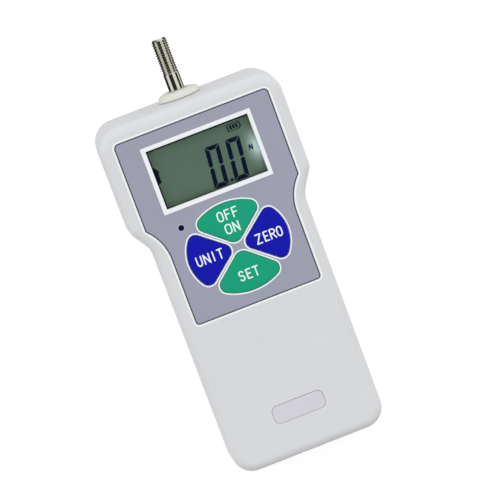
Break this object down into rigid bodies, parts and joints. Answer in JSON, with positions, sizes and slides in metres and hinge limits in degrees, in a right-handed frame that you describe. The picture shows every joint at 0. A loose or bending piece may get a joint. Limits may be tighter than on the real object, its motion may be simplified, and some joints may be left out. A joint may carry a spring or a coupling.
{
  "type": "digital force gauge",
  "caption": "Hand-held digital force gauge: broad-shouldered moulded housing, display, petal keys and a threaded measuring rod at the head.",
  "frame": {"origin": "centre of the flat back face, which it lies on", "axes": "+X to the right of someone reading the display, +Y from the foot towards the measuring rod, +Z out of the front face"},
  "size_m": [0.073, 0.1664, 0.0358],
  "materials": {
    "shell": "moulded, fine satin grain",
    "panel": "printed polycarbonate overlay, satin",
    "bezel": "white frame, satin",
    "window": "clear window",
    "lcd": "grey-green display glass",
    "nameplate": "bare pale plate, satin",
    "green_key": "satin rubberised key",
    "blue_key": "satin rubberised key",
    "dark_lens": "dark indicator lens",
    "collar": "cream moulded collar",
    "steel": "bright plated steel",
    "zinc": "zinc-plated steel",
    "aluminium": "machined",
    "brass": "machined",
    "board": "green solder mask",
    "black_plastic": "black moulded",
    "nylon": "pale nylon",
    "foil": "amber foil",
    "rubber": "conductive rubber",
    "cell_sleeve": "printed-free shrink sleeve",
    "lead_jacket": "lead jacket"
  },
  "bodies": {
    "housing": {"battery_cell_1": "cell_sleeve", "battery_cell_2": "cell_sleeve", "battery_cell_3": "cell_sleeve", "battery_cell_4": "cell_sleeve", "battery_connector": "nylon", "battery_lead": "lead_jacket", "battery_tray": "black_plastic", "board_screw_1": "zinc", "board_screw_2": "zinc", "bracket_screw_1": "zinc", "bracket_screw_2": "zinc", "buzzer": "black_plastic", "contact_strip_lower": "rubber", "contact_strip_upper": "rubber", "data_port": "zinc", "dc_jack": "black_plastic", "display_bezel": "bezel", "display_window": "window", "front_shell": "shell", "housing_screw_1": "zinc", "housing_screw_2": "zinc", "housing_screw_3": "zinc", "housing_screw_4": "zinc", "indicator_led": "nylon", "indicator_lens": "dark_lens", "lcd_glass": "lcd", "lcd_holder": "nylon", "load_cell": "aluminium", "main_board": "board", "mount_insert_1": "brass", "mount_insert_2": "brass", "mount_insert_3": "brass", "mount_insert_4": "brass", "nameplate_inlay": "nameplate", "panel_overlay": "panel", "processor_chip": "black_plastic", "rear_shell": "shell", "rod_collar": "collar", "sensor_bolt": "steel", "sensor_bracket": "zinc", "sensor_connector": "nylon", "sensor_lead": "lead_jacket", "strain_gauge_back": "foil", "strain_gauge_front": "foil", "switch_body_off_on": "black_plastic", "switch_body_set": "black_plastic", "switch_body_unit": "black_plastic", "switch_body_zero": "black_plastic"},
    "key_off_on": {"key_off_on": "green_key", "switch_stem_off_on": "nylon"},
    "key_unit": {"key_unit": "blue_key", "switch_stem_unit": "nylon"},
    "key_set": {"key_set": "green_key", "switch_stem_set": "nylon"},
    "key_zero": {"key_zero": "blue_key", "switch_stem_zero": "nylon"},
    "measuring_rod": {"measuring_rod": "steel", "rod_lock_nut": "zinc"}
  },
  "joints": [
    {"name": "off_on_press", "type": "slide", "parent": "housing", "child": "key_off_on", "axis": [0, 0, -1], "range_m": [0, 0.0004], "stiffness_N_per_m": 3000},
    {"name": "unit_press", "type": "slide", "parent": "housing", "child": "key_unit", "axis": [0, 0, -1], "range_m": [0, 0.0004], "stiffness_N_per_m": 3000},
    {"name": "set_press", "type": "slide", "parent": "housing", "child": "key_set", "axis": [0, 0, -1], "range_m": [0, 0.0004], "stiffness_N_per_m": 3000},
    {"name": "zero_press", "type": "slide", "parent": "housing", "child": "key_zero", "axis": [0, 0, -1], "range_m": [0, 0.0004], "stiffness_N_per_m": 3000},
    {"name": "rod_deflection", "type": "slide", "parent": "housing", "child": "measuring_rod", "axis": [0, 1, 0], "range_m": [-0.00025, 0.00025], "stiffness_N_per_m": 100000}
  ]
}
